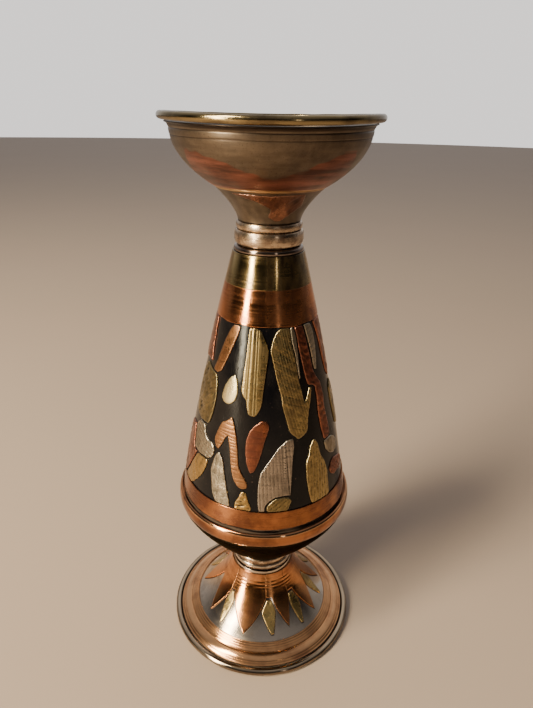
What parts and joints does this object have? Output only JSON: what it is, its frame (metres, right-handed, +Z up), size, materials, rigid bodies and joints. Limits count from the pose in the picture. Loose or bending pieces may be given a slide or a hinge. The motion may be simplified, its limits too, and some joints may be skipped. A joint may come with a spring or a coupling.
{
  "type": "candlestick",
  "caption": "Turned and raised candlestick of brass, copper and nickel silver: trumpet foot, dished bowl, tall black cone with cut metal shapes, and a drip cup with a candle socket.",
  "frame": {"origin": "centre of the ring on which the foot stands, on the surface under it", "axes": "+Z up along the tie rod, -Y towards the decorated front, +X to the right seen from the front"},
  "size_m": [0.0952, 0.0952, 0.25],
  "materials": {
    "brass": "aged satin",
    "dark_brass": "brown patina, satin",
    "copper": "copper, aged satin",
    "nickel_silver": "nickel silver, aged satin",
    "black_lacquer": "glossy black",
    "dark_steel": "dark oxide",
    "steel_fixings": "plain"
  },
  "bodies": {
    "root": {"base_nut": "steel_fixings", "base_plate": "steel_fixings", "brass_blade_foot": "brass", "brass_lower_left": "brass", "brass_ribbed_right": "brass", "brass_ring_piece": "brass", "brass_tongue_back": "brass", "brass_tongue_centre": "brass", "brass_tongue_right": "brass", "brass_wedge_back": "brass", "brass_wedge_right": "brass", "candle_socket": "brass", "cone_base_band": "copper", "cone_brass_band": "brass", "cone_cap": "dark_steel", "cone_copper_band": "copper", "cone_shell": "black_lacquer", "copper_chain": "copper", "copper_chevron": "copper", "copper_edge_left": "copper", "copper_edge_right": "copper", "copper_leaf": "copper", "copper_leaf_back": "copper", "copper_strip_back": "copper", "copper_strip_left": "copper", "copper_wedge_left": "copper", "cup_rim_wire": "brass", "cup_stem": "dark_brass", "drip_cup": "dark_brass", "foot_brass_petal_1": "brass", "foot_brass_petal_2": "brass", "foot_brass_petal_3": "brass", "foot_brass_petal_4": "brass", "foot_brass_petal_5": "brass", "foot_brass_petal_6": "brass", "foot_brass_petal_7": "brass", "foot_brass_petal_8": "brass", "foot_copper_rosette": "copper", "foot_copper_skirt": "copper", "foot_rolled_rim": "dark_brass", "foot_sheet": "nickel_silver", "girdle_ring": "copper", "lower_bowl": "dark_brass", "lower_collar": "nickel_silver", "lower_collar_step": "brass", "neck_bead": "brass", "neck_ring": "brass", "nickel_blade": "nickel_silver", "nickel_blade_back": "nickel_silver", "nickel_end_right": "nickel_silver", "nickel_leaf_back": "nickel_silver", "nickel_ribbed_left": "nickel_silver", "nickel_sliver": "nickel_silver", "nickel_spotted_shape": "nickel_silver", "nickel_strip_right": "nickel_silver", "olive_patch_left": "brass", "silver_leaf": "nickel_silver", "stem_copper_leaf": "copper", "tie_rod": "steel_fixings", "copper_scrap_right": "copper"}
  },
  "joints": []
}
